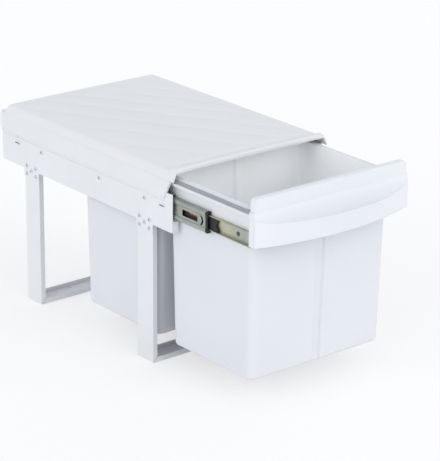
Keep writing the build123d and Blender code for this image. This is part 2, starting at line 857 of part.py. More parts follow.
middle_bar_front = bin_middles[0] + bin_depth_top / 2 + bar_clearance
middle_bar_rear = bin_middles[1] - bin_depth_top / 2 - bar_clearance
with BuildPart() as middle_bar:
    slab((-bar_half, bar_half), (middle_bar_front, middle_bar_rear), (rim_under - bar_height, rim_under))
    slab((-bar_half, bar_half), (middle_bar_front + carrier_sheet, middle_bar_rear - carrier_sheet),
         (rim_under - bar_height - overrun, rim_under - carrier_sheet), mode=Mode.SUBTRACT)
keep(middle_bar, "carrier_middle_bar")

rear_bar_front = bin_middles[1] + bin_depth_top / 2 + bar_clearance
with BuildPart() as rear_bar:
    slab((-bar_half, bar_half), (carrier_rear - carrier_sheet, carrier_rear),
         (rim_under - bar_height, rim_under))
    slab((-bar_half, bar_half), (rear_bar_front, carrier_rear), (rim_under - carrier_sheet, rim_under))
keep(rear_bar, "carrier_rear_bar")


# Fascia: a backing plate and a hollow bowed grip, open underneath
bow_front = fascia_back - bow_reach
half_chord = fascia_width / 2
rim_level = fascia_bottom + grip_height
bow_levels = (
    (fascia_bottom - overrun, bow_root, bow_reach - bow_lean - bow_lean * overrun / grip_height),
    (junction_level, bow_root,
     bow_reach - bow_lean + bow_lean * (junction_level - fascia_bottom) / grip_height),
)
shelf_points = [(plate_depth + ahead, rim_level + rise) for ahead, rise in shelf_rises]


def bow_block(inset):
    """The grip's whole block, from the fascia's foot to the plate's junction, moved in by a wall."""
    with BuildPart() as block:
        for level, root, reach in bow_levels:
            end = half_chord - inset
            with BuildSketch(Plane.XY.offset(level)):
                with BuildLine():
                    ThreePointArc((-end, fascia_back - root + inset), (0, fascia_back - reach + inset),
                                  (end, fascia_back - root + inset))
                    Polyline((end, fascia_back - root + inset), (end, fascia_back - inset),
                             (-end, fascia_back - inset), (-end, fascia_back - root + inset))
                make_face()
        loft(ruled=True)
    return block.part


def above_shelf(drop):
    """What lies above the hollowed shelf behind the grip's front rim, lowered by a wall."""
    with BuildPart() as space:
        with BuildSketch(Plane.YZ):
            with BuildLine():
                Spline(*[(fascia_back - ahead, rise - drop) for ahead, rise in shelf_points])
                Polyline((fascia_back - shelf_points[-1][0], shelf_points[-1][1] - drop),
                         (fascia_back - shelf_points[-1][0], plate_top + overrun),
                         (fascia_back - shelf_points[0][0], plate_top + overrun),
                         (fascia_back - shelf_points[0][0], shelf_points[0][1] - drop))
            make_face()
        extrude(amount=fascia_width, both=True)
    return space.part


fascia_screw_level = front_bar_bottom + fascia_screw_rise
fascia_screw_spots = [(side * fascia_screw_spread / 2, fascia_screw_level) for side in (-1, 1)]
fascia_hole_radius = fascia_screw_radius + rivet_clearance
with BuildPart() as grip_space:
    add(bow_block(shell_wall))
    add(above_shelf(shell_wall), mode=Mode.SUBTRACT)
    slab((-half_chord, half_chord), (bow_front, fascia_back), (rim_level, fascia_bottom - overrun),
         mode=Mode.INTERSECT)

with BuildPart() as fascia:
    add(bow_block(0))
    add(above_shelf(0), mode=Mode.SUBTRACT)
    slab((-half_chord, half_chord), (bow_front, fascia_back), (plate_top, fascia_bottom),
         mode=Mode.INTERSECT)
    with BuildSketch(across(fascia_back)) as plate_face:
        with Locations((0, (fascia_bottom + plate_top) / 2)):
            Rectangle(plate_width, plate_top - fascia_bottom)
        fillet(plate_face.vertices().group_by(Axis.Y)[-1], plate_corner)
    extrude(amount=plate_depth)
    add(grip_space.part, mode=Mode.SUBTRACT)
    with BuildSketch(across(fascia_back)):
        with Locations(*fascia_screw_spots):
            Circle(fascia_boss_radius)
    extrude(amount=shell_wall + fascia_screw_reach)
    with BuildSketch(across(fascia_back)):
        with Locations(*fascia_screw_spots):
            Circle(fascia_hole_radius)
    extrude(amount=fascia_screw_reach, mode=Mode.SUBTRACT)
keep(fascia, "fascia")

with BuildPart() as fascia_screws:
    with BuildSketch(across(fascia_back + carrier_sheet)):
        with Locations(*fascia_screw_spots):
            Circle(fascia_screw_radius)
    extrude(amount=carrier_sheet + fascia_screw_reach)
    with BuildSketch(across(fascia_back + carrier_sheet)):
        with Locations(*fascia_screw_spots):
            Circle(fascia_screw_head_radius)
    extrude(amount=-fascia_screw_head)
keep(fascia_screws, "fascia_screws")


# Lid: a nearly flat shell whose front bead stands above the rest, open below its front lip
lid_bottom = panel_top + lid_seat
lid_edge = lid_bottom + lid_edge_height
lid_peak = lid_edge + bead_rise + lid_crown
bead_places = (
    (lid_front - overrun, bead_rise),
    (lid_front + bead_flat, bead_rise),
    (lid_front + bead_flat + bead_slope, 0),
    (lid_rear + overrun, 0),
)


def lid_form(wall, drop):
    """A slightly crowned solid with slanting sides: wall moves its sides in, drop lowers its top."""
    low = lid_bottom - (overrun if wall else 0)
    skirt_half = lid_skirt_half - wall
    with BuildPart() as form:
        for place, rise in bead_places:
            top = lid_edge + rise - drop
            slope = (lid_skirt_half - lid_edge_half) * (top - lid_bottom) / lid_edge_height
            edge_half = skirt_half - slope
            with BuildSketch(across(place)):
                with BuildLine():
                    Polyline((edge_half, top), (skirt_half, low), (-skirt_half, low), (-edge_half, top))
                    ThreePointArc((-edge_half, top), (0, top + lid_crown), (edge_half, top))
                make_face()
        loft(ruled=True)
    return form.part


def rear_slant_wedge(inset):
    """What lies behind the lid's slanting rear wall, moved forward by a wall."""
    with BuildPart() as wedge:
        with BuildSketch(Plane.YZ):
            outline([
                (lid_rear - inset, lid_bottom - overrun),
                (lid_rear - lid_rear_slant - inset, lid_peak),
                (lid_rear + 2 * overrun, lid_peak),
                (lid_rear + 2 * overrun, lid_bottom - overrun),
            ])
        extrude(amount=frame_width, both=True)
    return wedge.part


def rib_edges(first, second):
    """The wavy long edges of the rib between two valleys, from the rear left to the front right."""
    reach = (2 * lid_edge_half + lid_rear - lid_front) / sqrt(2) / 2
    centre = (lid_front + lid_rear) / 2
    over, along_lid = cos(radians(rib_turn)), sin(radians(rib_turn))
    edges = []
    for side in (-1, 1):
        row = []
        for step in range(rib_points):
            run = -reach + 2 * reach * step / (rib_points - 1)
            swing = rib_wave if step % 2 else -rib_wave
            off = (first + second) / 2 + side * (second - first) * rib_share / 2 + swing
            row.append((off * over + run * along_lid, centre + off * along_lid - run * over))
        edges.append(row)
    return edges


with BuildPart() as ribs:
    with BuildSketch(Plane.XY.offset(lid_bottom)):
        for valleys in zip(rib_valleys, rib_valleys[1:]):
            first, second = rib_edges(*valleys)
            with BuildLine():
                Spline(*first)
                Line(first[-1], second[-1])
                Spline(*reversed(second))
                Line(second[0], first[0])
            make_face()
    extrude(amount=lid_peak - lid_bottom)
    slab((-lid_edge_half + rib_margin, lid_edge_half - rib_margin),
         (lid_front + rib_front_margin, lid_rear - lid_rear_slant - rib_rear_margin),
         (lid_edge, lid_peak), mode=Mode.INTERSECT)
    add(lid_form(0, -rib_rise), mode=Mode.INTERSECT)

with BuildPart() as lid_space:
    add(lid_form(lid_wall, lid_wall))
    slab((-frame_width, frame_width), (lid_front + lid_wall, lid_rear + overrun), (0, lid_peak),
         mode=Mode.INTERSECT)
    add(rear_slant_wedge(lid_wall), mode=Mode.SUBTRACT)

with BuildPart() as lid_mouth:
    add(lid_form(lid_wall, lip_height))
    slab((-frame_width, frame_width), (lid_front - overrun, lid_front + 2 * lid_wall), (0, lid_peak),
         mode=Mode.INTERSECT)

boss_spots = [(side * boss_x, end) for side in (-1, 1) for end in boss_ends]
with BuildPart() as lid:
    add(lid_form(0, 0))
    slab((-frame_width, frame_width), (lid_front, lid_rear), (0, lid_peak), mode=Mode.INTERSECT)
    add(ribs.part)
    add(rear_slant_wedge(0), mode=Mode.SUBTRACT)
    add(lid_space.part, mode=Mode.SUBTRACT)
    add(lid_mouth.part, mode=Mode.SUBTRACT)
    with BuildSketch(Plane.XY.offset(panel_top)):
        with Locations(*boss_spots):
            Circle(boss_radius)
    extrude(amount=lid_seat + lid_edge_height - lid_wall / 2)
    with BuildSketch(Plane.XY.offset(panel_top)):
        with Locations(*boss_spots):
            Circle(screw_hole_radius)
    extrude(amount=lid_seat + screw_reach, mode=Mode.SUBTRACT)
keep(lid, "lid")

with BuildPart() as lid_screws:
    with BuildSketch(Plane.XY.offset(panel_top - panel_sheet)):
        with Locations(*boss_spots):
            Circle(screw_shank_radius)
    extrude(amount=panel_sheet + lid_seat + screw_reach)
    with BuildSketch(Plane.XY.offset(panel_top - panel_sheet)):
        with Locations(*boss_spots):
            Circle(screw_head_radius)
    extrude(amount=-screw_head)
keep(lid_screws, "lid_screws")
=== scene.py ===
from math import cos, inf, pi, radians, sin

import bmesh
import bpy
from bpy.props import FloatProperty, FloatVectorProperty, PointerProperty
from mathutils import Matrix, Vector


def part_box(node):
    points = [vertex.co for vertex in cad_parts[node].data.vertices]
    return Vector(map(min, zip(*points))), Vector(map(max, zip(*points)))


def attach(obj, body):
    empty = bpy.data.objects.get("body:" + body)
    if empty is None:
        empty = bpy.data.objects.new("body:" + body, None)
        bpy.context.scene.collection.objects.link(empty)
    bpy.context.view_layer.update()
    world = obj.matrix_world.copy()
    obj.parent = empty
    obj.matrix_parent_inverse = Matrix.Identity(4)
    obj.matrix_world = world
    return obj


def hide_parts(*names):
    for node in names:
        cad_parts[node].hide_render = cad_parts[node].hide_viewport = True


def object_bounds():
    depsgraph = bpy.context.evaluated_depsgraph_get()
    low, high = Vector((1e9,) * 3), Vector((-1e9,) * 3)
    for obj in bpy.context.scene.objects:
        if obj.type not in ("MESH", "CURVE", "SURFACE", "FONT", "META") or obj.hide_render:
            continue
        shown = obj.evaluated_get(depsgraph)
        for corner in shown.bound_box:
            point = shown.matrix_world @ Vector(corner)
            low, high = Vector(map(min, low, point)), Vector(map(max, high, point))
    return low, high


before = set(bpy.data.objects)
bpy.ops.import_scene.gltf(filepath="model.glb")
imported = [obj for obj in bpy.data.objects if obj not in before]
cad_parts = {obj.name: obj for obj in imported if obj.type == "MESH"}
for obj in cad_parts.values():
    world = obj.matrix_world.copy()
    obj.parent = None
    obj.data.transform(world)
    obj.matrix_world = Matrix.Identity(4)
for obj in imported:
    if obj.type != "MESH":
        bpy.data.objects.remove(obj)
cad_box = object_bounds()

bl_info = {
    "name": "Pull out bin frame",
    "version": (1, 0, 0),
    "blender": (4, 5, 0),
    "location": "View3D > Sidebar > Bin frame",
    "description": "Dresses the frame, its lid, slides, handle and bins, and sets the stage",
    "category": "Object",
}

SIDES = ("left", "right")
NEAR = 0.001    # shares of a length closer than this count as the same

# The lid, in metres
LID_FOOT_GAP = 0.0009       # from the top rails' upper edges to the skirts' feet
LID_EDGE_RISE = 0.0154      # from the skirts' feet to the edge of the top
LID_LEAN = 0.007            # how far the sides lean inwards
LID_BACK_SLANT = 0.008      # how far the back leans inwards
LID_LIP = 0.0075            # height of the band around the top
LID_BEAD = 0.005            # how far the front bead stands up
LID_BEAD_DEPTH = 0.008      # how deep it is at its full height
LID_BEAD_FALL = 0.017       # over what length it falls behind that
LID_SLACK = 0.00001         # keeps the top inside the solid lid's box
LID_GRID = (104, 156)
LID_EASE = 0.0005
LID_EASE_ANGLE = radians(50)
RIB_PHASE = 0.451           # in ribs, at the middle of the top
RIB_FULLNESS = 0.7          # below 1 for fuller ribs with narrow valleys
RIB_FADE = 0.007            # over what length the ribs rise from the plain border
RIB_FRONT_MARGIN = 0.033
RIB_REAR_MARGIN = 0.015
BOSS_RADIUS = 0.0028
BOSS_LIFT = 0.0001
BOSS_SIDES = 24

# The slides' middle members, in metres: how deep the middle of the sheet lies behind the outer face, how far
# off the slide's axis, and how far behind the member's front end
MEMBER_SHEET = 0.0009
WEB_DEPTH, PAD_DEPTH, RACE_DEPTH = 0.0011, 0.0003, -0.0006
WEB_HALF = 0.0098
RACE_FOOT, RACE_SEAT = 0.0096, 0.0109
RACE_EDGE = 0.0026          # from the flat of the race to the member's edge
RACE_BENDS = (0.0006, 0.0010, 0.0008)
PAD_FRONT, PAD_REAR, PAD_HALF, PAD_CORNER = 0.0015, 0.0665, 0.0090, 0.0040
WINDOW_FRONT, WINDOW_REAR, WINDOW_HALF, WINDOW_CORNER = 0.0205, 0.0605, 0.0055, 0.0015
SLOT_OUTLINE = ((0.0140, 0.0082), (0.0104, 0.0084), (0.0068, 0.0052), (0.0048, 0.0), (0.0068, -0.0052),
                (0.0104, -0.0084), (0.0140, -0.0082), (0.0112, -0.0042), (0.0094, 0.0), (0.0112, 0.0042))
SLOT_CORNER = 0.0009
LENGTHWAYS = 0.01           # an edge that runs further than this along the slide is one of its long edges

# The bins' outline, in metres, for the mask of their insides
BIN_HALF_WIDTH, BIN_FLARE_WIDTH = 0.1435, 0.003
BIN_HALF_DEPTH, BIN_FLARE_DEPTH = 0.102, 0.008
BIN_CORNER = 0.014
BIN_GROOVE_HALF, BIN_GROOVE_DEPTH = 0.0095, 0.0035
BIN_FOOT_ROUND, BIN_FOOT_FADE = 0.0045, 0.0025
BIN_WALL_MIDDLE, BIN_FLOOR_MIDDLE, BIN_MASK_STEP = 0.0010, 0.0014, 0.0006

# Edge radii seen on small metal pieces, in metres
FINE_EDGE, SCREW_EDGE, RIVET_EDGE = 0.0001, 0.0003, 0.0004

# The stage: lamps by azimuth from the front and elevation, in degrees, and lengths in metres
FRONT_LIGHT, LEFT_LIGHT, RIGHT_LIGHT = (14.0, 27.0), (-86.0, 24.0), (108.0, 28.0)
LAMP_ANGLE = radians(55)
LAMP_TINT = (1.0, 0.975, 0.945)
LAMP_DISTANCE = 4.0
FLOOR_HALF, FLOOR_GAP = 20.0, 0.0004
WHITE = (1.0, 1.0, 1.0, 1.0)
SENSOR_WIDTH = 36.0
CLIP_END = 100.0
CAMERA_PLACE = Vector((-2.17782, -2.71367, 1.46801))
CAMERA_YAW, CAMERA_PITCH, CAMERA_ROLL = -0.6853428, 0.3535578, 0.0096269


def both(*stems):
    """The names of the left and right nodes of these kinds."""
    return [side + "_" + stem for stem in stems for side in SIDES]


# Settings

def colour(name, description, default):
    """A colour setting."""
    return FloatVectorProperty(name=name, description=description, default=default, subtype="COLOR",
                               size=3, min=0.0, max=1.0)


def length(name, description, default):
    """A length setting, in metres."""
    return FloatProperty(name=name, description=description, default=default, unit="LENGTH", min=0.0)


def level(name, description, default):
    """A strength of light."""
    return FloatProperty(name=name, description=description, default=default, min=0.0)


class BinFrameColours(bpy.types.PropertyGroup):
    coat: colour("Steel coat", "Powder coat on the sheet steel", (0.780, 0.787, 0.800))
    lid: colour("Lid", "Moulded lid", (0.795, 0.787, 0.797))
    handle: colour("Handle", "Moulded handle front", (0.800, 0.812, 0.838))
    bin: colour("Bin outside", "Bins, outside", (0.750, 0.763, 0.790))
    # Painted light: the bins' insides much lighter and bluer than the outside, standing in for light through
    # the walls and bounced inside.
    bin_inside_painted_light: colour("Bin inside", "Bins, inside", (0.990, 0.995, 1.000))
    zinc: colour("Zinc", "Plated slide members", (0.430, 0.455, 0.425))
    yellow_zinc: colour("Yellow zinc", "Passivated inner members", (0.570, 0.560, 0.410))
    rivet: colour("Rivet", "Blind rivets", (0.720, 0.740, 0.770))
    ball: colour("Ball", "Slide balls", (0.780, 0.780, 0.790))
    black: colour("Black", "Black plastic pieces", (0.012, 0.012, 0.013))
    copper: colour("Spring strip", "Lever spring", (0.420, 0.190, 0.090))
    strip: colour("Rim strip", "Strip under the bins' rims", (0.330, 0.345, 0.360))
    floor: colour("Floor", "Floor under the frame", (0.985, 0.985, 0.985))


class BinFrameSizes(bpy.types.PropertyGroup):
    soft_edge: length("Soft edge", "Rounding seen on moulded edges", 0.0011)
    sheet_edge: length("Sheet edge", "Rounding seen on coated sheet edges", 0.0005)
    rib_rise: length("Rib rise", "How far the lid's ribs stand up", 0.0013)
    rib_pitch: length("Rib pitch", "From one rib to the next in the lid's middle, square to them", 0.056)
    rib_spread: FloatProperty(name="Rib spread", description="How much closer the ribs are towards the rear",
                              default=11.8, min=0.0)
    rib_turn: FloatProperty(name="Rib turn", description="Turn of the ribs from the lid's length",
                            default=0.546, subtype="ANGLE")
    rib_wave: length("Rib wave", "How far a rib swings to each side", 0.0022)
    rib_wave_length: length("Rib wave length", "Length of one swing of a rib", 0.108)
    rib_margin: length("Rib margin", "Plain border at the lid's sides", 0.013)
    lid_wall: length("Lid wall", "Wall of the moulded lid", 0.0024)
    lid_round: length("Lid rounding", "Rounding of the lid's top edges", 0.0028)


class BinFrameStage(bpy.types.PropertyGroup):
    lens: FloatProperty(name="Lens", description="Focal length on a 36 mm sensor", default=165.95, min=1.0)
    sky: colour("Sky", "Tint of the even light", (0.89, 0.94, 1.0))
    ambient: level("Ambient", "Even light from all around", 0.74)
    front: level("Front light", "Strength of the soft light from the front", 0.92)
    left: level("Left light", "Strength of the soft light from the left", 0.80)
    right: level("Right light", "Strength of the soft light from the right", 0.28)
    glow: FloatProperty(name="Backdrop", description="How much of the floor's look is plain white",
                        default=0.60, min=0.0, max=1.0)


# Shader maths

class Value:
    """A shader socket that can be used in sums."""

    def __init__(self, paint, socket):
        self.paint = paint
        self.socket = socket

    def maths(self, operation, *terms):
        """One Math node on these terms."""
        return self.paint.node("ShaderNodeMath", {"operation": operation}, dict(enumerate(terms)))

    def __add__(self, other):
        return self.maths("ADD", self, other)

    def __radd__(self, other):
        return self.maths("ADD", other, self)

    def __sub__(self, other):
        return self.maths("SUBTRACT", self, other)

    def __rsub__(self, other):
        return self.maths("SUBTRACT", other, self)

    def __mul__(self, other):
        return self.maths("MULTIPLY", self, other)

    def __rmul__(self, other):
        return self.maths("MULTIPLY", other, self)

    def __truediv__(self, other):
        return self.maths("DIVIDE", self, other)

    def __pow__(self, other):
        return self.maths("POWER", self, other)

    def __abs__(self):
        return self.maths("ABSOLUTE", self)

    def over(self, other):
        """The larger of two values."""
        return self.maths("MAXIMUM", self, other)

    def under(self, other):
        """The smaller of two values."""
        return self.maths("MINIMUM", self, other)

    def clamped(self):
        """This value kept between 0 and 1."""
        return self.under(1.0).over(0.0)

    def above(self, limit, width):
        """0 below the limit, 1 above it, with a soft step of this width."""
        return ((self - limit) / width + 0.5).clamped()


class Paint:
    """A material made of nodes."""

    def __init__(self, name):
        self.material = bpy.data.materials.new(name)
        self.material.use_nodes = True
        self.tree = self.material.node_tree
        self.tree.nodes.clear()

    def node(self, kind, settings=None, inputs=None, output=0):
        """A node of this type with its settings, then the values or links of its sockets."""
        made = self.tree.nodes.new(kind)
        for key, value in (settings or {}).items():
            setattr(made, key, value)
        for key, value in (inputs or {}).items():
            if isinstance(value, Value):
                self.tree.links.new(value.socket, made.inputs[key])
            else:
                made.inputs[key].default_value = value
        return Value(self, made.outputs[output])

    def spot(self):
        """Object coordinates."""
        return self.node("ShaderNodeTexCoord", output="Object")

    def axes(self):
        """The three Object coordinates, one by one."""
        parts = self.node("ShaderNodeSeparateXYZ", inputs={0: self.spot()})
        return [Value(self, parts.socket.node.outputs[axis]) for axis in range(3)]

    def noise(self, scale, detail, stretch=(1.0, 1.0, 1.0), twist=0.0):
        """Noise on Object coordinates, drawn out along the axes whose share is small."""
        place = self.node("ShaderNodeMapping", inputs={"Vector": self.spot(), "Scale": stretch})
        return self.node("ShaderNodeTexNoise",
                         inputs={"Vector": place, "Scale": scale, "Detail": detail, "Distortion": twist})

    def mix(self, share, first, second):
        """A blend of two colours. Of the node's sockets, 0 is the share, 6 and 7 are the colours."""
        colours = [value if isinstance(value, Value) else (*value, 1.0) for value in (first, second)]
        return self.node("ShaderNodeMix", {"data_type": "RGBA"}, {0: share, 6: colours[0], 7: colours[1]},
                         output=2)

    def rounded(self, radius):
        """A normal that looks as if edges were rounded."""
        return self.node("ShaderNodeBevel", {"samples": 6}, {"Radius": radius})

    def edge(self, soft):
        """A mask of the edges, where the rounded normal leaves the flat one, for the painted highlight or
        painted shade on them.
        """
        flat = self.node("ShaderNodeNewGeometry", output="Normal")
        same = self.node("ShaderNodeVectorMath", {"operation": "DOT_PRODUCT"}, {0: soft, 1: flat},
                         output="Value")
        return (1.0 - same).above(limit=0.06, width=0.10)

    def bump(self, height, depth, normal):
        """A bump of this depth in metres on a normal."""
        return self.node("ShaderNodeBump", inputs={"Height": height, "Distance": depth, "Normal": normal})

    def surface(self, **sockets):
        """The closing shader: the names stand for its sockets, with _ for each space."""
        inputs = {name.replace("_", " ").title().replace("Ior", "IOR"): value
                  for name, value in sockets.items()}
        self.close(self.node("ShaderNodeBsdfPrincipled", inputs=inputs))
        return self.material

    def close(self, shader):
        """Link the shader to the material's output."""
        out = self.tree.nodes.new("ShaderNodeOutputMaterial")
        self.tree.links.new(shader.socket, out.inputs[0])


# Materials

def shaded(tint, factor):
    """A colour made darker or lighter."""
    return tuple(min(part * factor, 1.0) for part in tint)


def powder_coat(name, tint, edge_radius):
    """Powder coat on sheet steel: orange peel, faint clouds and dust, and a painted highlight that makes the
    edges lighter.
    """
    paint = Paint(name)
    soft = paint.rounded(edge_radius)
    clouds = paint.noise(scale=9.0, detail=3.0)
    peel = paint.noise(scale=620.0, detail=2.0)
    dust = paint.noise(scale=60.0, detail=5.0, twist=0.4)
    base = paint.mix(clouds.above(limit=0.5, width=0.5), shaded(tint, 0.975), shaded(tint, 1.02))
    base = paint.mix(dust.above(limit=0.66, width=0.12) * 0.25, base, shaded(tint, 0.93))
    # Painted highlight: the coat's edges lighter, as where light catches their rounding.
    base = paint.mix(paint.edge(soft) * 0.45, base, shaded(tint, 1.12))
    return paint.surface(base_color=base, roughness=0.34 + 0.10 * peel,
                         normal=paint.bump(peel, depth=0.00006, normal=soft), ior=1.5)


def moulded(name, tint, edge_radius, grain, depth, gloss):
    """Moulded plastic: fine eroded grain, faint flow marks, rounded edges and a painted highlight on them."""
    paint = Paint(name)
    soft = paint.rounded(edge_radius)
    grains = paint.noise(scale=grain, detail=3.0)
    flow = paint.noise(scale=5.0, detail=2.0, stretch=(1.0, 0.35, 1.0), twist=0.8)
    base = paint.mix(flow.above(limit=0.5, width=0.6), shaded(tint, 0.975), shaded(tint, 1.015))
    # Painted highlight: the edges lighter, as where light catches their rounding.
    base = paint.mix(paint.edge(soft) * 0.30, base, shaded(tint, 1.08))
    return paint.surface(base_color=base, roughness=gloss + 0.10 * grains + 0.05 * flow,
                         normal=paint.bump(grains, depth, normal=soft), ior=1.46)


def inside_of_bin(paint, box):
    """A mask of the bin's inside: 1 deeper in the plastic than its middle, as on the inner faces."""
    low, high = box
    x, y, z = paint.axes()
    height = z - low[2]
    rise = height / (high[2] - low[2])
    groove = (BIN_GROOVE_HALF - abs(x)).over(0.0).under(BIN_GROOVE_DEPTH)
    beyond_x = abs(x) - (BIN_HALF_WIDTH + BIN_FLARE_WIDTH * rise - BIN_CORNER)
    beyond_y = (abs(y - (low[1] + high[1]) / 2)
                - (BIN_HALF_DEPTH + BIN_FLARE_DEPTH * rise - groove - BIN_CORNER))
    round_corner = (beyond_x.over(0.0) ** 2.0 + beyond_y.over(0.0) ** 2.0) ** 0.5
    depth = BIN_CORNER - round_corner - beyond_x.over(beyond_y).under(0.0)
    near_foot = ((BIN_FOOT_ROUND - height) / BIN_FOOT_FADE).clamped()
    in_wall = (depth - BIN_FOOT_FADE * near_foot).above(BIN_WALL_MIDDLE, BIN_MASK_STEP)
    return in_wall * height.above(BIN_FLOOR_MIDDLE, BIN_MASK_STEP)


def bin_plastic(name, tint, painted_light_inside_tint, box, edge_radius):
    """Bin plastic: satin, with painted light on the inside, where it is much lighter and a little bluer, and
    fine upright drawing marks.
    """
    paint = Paint(name)
    soft = paint.rounded(edge_radius)
    grain = paint.noise(scale=700.0, detail=3.0)
    draw = paint.noise(scale=34.0, detail=3.0, stretch=(1.0, 1.0, 0.06))
    cloud = paint.noise(scale=6.0, detail=2.0)
    outer = paint.mix(cloud.above(limit=0.5, width=0.6), shaded(tint, 0.98), shaded(tint, 1.015))
    # Painted light: the inside colour, far lighter than the outer, for light coming through the walls and
    # bounced inside.
    inner = paint.mix(draw.above(limit=0.5, width=0.5), shaded(painted_light_inside_tint, 0.99), painted_light_inside_tint)
    base = paint.mix(inside_of_bin(paint, box), outer, inner)
    return paint.surface(base_color=base, roughness=0.50 + 0.08 * grain + 0.06 * draw,
                         normal=paint.bump(grain * 0.4 + draw * 0.6, depth=0.00005, normal=soft), ior=1.42)


def plated(name, tint, other, edge_radius, patch=26.0, painted_edge_light_or_shade=1.3):
    """Plated steel: rolling lines along the slide, cloudy passivation, and a painted highlight or painted
    shade on the edges.
    """
    paint = Paint(name)
    soft = paint.rounded(edge_radius)
    lines = paint.noise(scale=1400.0, detail=2.0, stretch=(1.0, 0.03, 1.0))
    clouds = paint.noise(scale=patch, detail=4.0, twist=1.2)
    specks = paint.noise(scale=420.0, detail=2.0)
    base = paint.mix(clouds.above(limit=0.52, width=0.30), tint, other)
    base = paint.mix(specks.above(limit=0.68, width=0.08) * 0.5, base, shaded(tint, 0.62))
    # Painted light on the edges: lighter as a highlight for a factor over 1, darker as shade for one under 1.
    base = paint.mix(paint.edge(soft) * 0.6, base, shaded(tint, painted_edge_light_or_shade))
    return paint.surface(base_color=base, metallic=0.85, roughness=0.30 + 0.16 * lines + 0.10 * clouds,
                         normal=paint.bump(lines, depth=0.00002, normal=soft))


def bare_metal(name, tint, gloss, edge_radius):
    """Turned or drawn metal with fine marks."""
    paint = Paint(name)
    soft = paint.rounded(edge_radius)
    marks = paint.noise(scale=1600.0, detail=2.0)
    base = paint.mix(marks.above(limit=0.5, width=0.6), shaded(tint, 0.92), tint)
    return paint.surface(base_color=base, metallic=0.9, roughness=gloss + 0.12 * marks,
                         normal=paint.bump(marks, depth=0.00002, normal=soft))


def dress(material, names):
    """Give CAD nodes a material."""
    for name in names:
        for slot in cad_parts[name].material_slots:
            slot.material = material


# Shapes

def picked(items, kind):
    """The items of one kind, of what a bmesh operator returns."""
    return [item for item in items if isinstance(item, kind)]


def round_off(mesh, geom, radius, segments, affect="EDGES", clamp=False):
    """Round edges or corners."""
    bmesh.ops.bevel(mesh, geom=geom, offset=radius, segments=segments, profile=0.5, affect=affect,
                    material=-1, clamp_overlap=clamp)


def piece_from(mesh, name, body, material, node, smooth=True):
    """Make an object of a bmesh that rides on a body and stands for a CAD node."""
    data = bpy.data.meshes.new(name)
    mesh.to_mesh(data)
    mesh.free()
    for face in data.polygons:
        face.use_smooth = smooth
    data.materials.append(material)
    piece = bpy.data.objects.new(name, data)
    bpy.context.scene.collection.objects.link(piece)
    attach(piece, body)
    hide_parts(node)
    return piece


def give_wall(piece, thickness, offset):
    """Give a skin its wall: inwards for an offset of -1, to both sides for 0."""
    wall = piece.modifiers.new("wall", "SOLIDIFY")
    wall.thickness = thickness
    wall.offset = offset


def soft_step(value, width):
    """A smooth step from 0 to 1 over a width."""
    share = min(max(value / width, 0.0), 1.0)
    return share * share * (3.0 - 2.0 * share)


class LidForm:
    """The lid's outer surface. Shares run from -1 to 1 across it and from 0 to 1 from front to rear."""

    def __init__(self, sizes, box, panel_top):
        low, high = [Vector(corner) for corner in box]
        self.sizes = sizes
        self.skirt, self.front, self.rear = high.x, low.y, high.y
        self.foot = panel_top + LID_FOOT_GAP
        self.crown = high.z - self.foot - LID_EDGE_RISE - LID_BEAD - LID_SLACK
        self.top_rear = self.rear - LID_BACK_SLANT
        self.middle = (self.front + self.top_rear) / 2

    def height(self, y):
        """Height of the top's edge over the skirts' feet, with the front bead."""
        return LID_EDGE_RISE + LID_BEAD * (1.0 - soft_step(y - self.front - LID_BEAD_DEPTH, LID_BEAD_FALL))

    def relief(self, x, y):
        """How far the ribs stand up at this place."""
        sizes = self.sizes
        off = x * cos(sizes.rib_turn) + (y - self.middle) * sin(sizes.rib_turn)
        run = x * sin(sizes.rib_turn) - (y - self.middle) * cos(sizes.rib_turn)
        off += sizes.rib_wave * sin(2 * pi * run / sizes.rib_wave_length)
        turns = RIB_PHASE + off / sizes.rib_pitch + sizes.rib_spread * off * off
        pillow = abs(sin(pi * turns)) ** RIB_FULLNESS
        side = soft_step(self.skirt - LID_LEAN - abs(x) - sizes.rib_margin, RIB_FADE)
        ends = (soft_step(y - self.front - RIB_FRONT_MARGIN, RIB_FADE)
                * soft_step(self.top_rear - y - RIB_REAR_MARGIN, RIB_FADE))
        return sizes.rib_rise * pillow * side * ends

    def point(self, share_x, share_y, drop):
        """The place at these shares, this far down from the top. Below the lip nothing arches."""
        y = (self.front + (self.rear - self.front) * share_y
             - LID_BACK_SLANT * share_y * (1.0 - drop / LID_EDGE_RISE))
        height = self.height(y)
        down = min(drop, height)
        half = self.skirt - LID_LEAN * (height - down) / LID_EDGE_RISE
        arch = self.crown * (1.0 - share_x * share_x) if drop <= LID_LIP else 0.0
        return Vector((half * share_x, y, self.foot + height - down + arch))


# Pieces

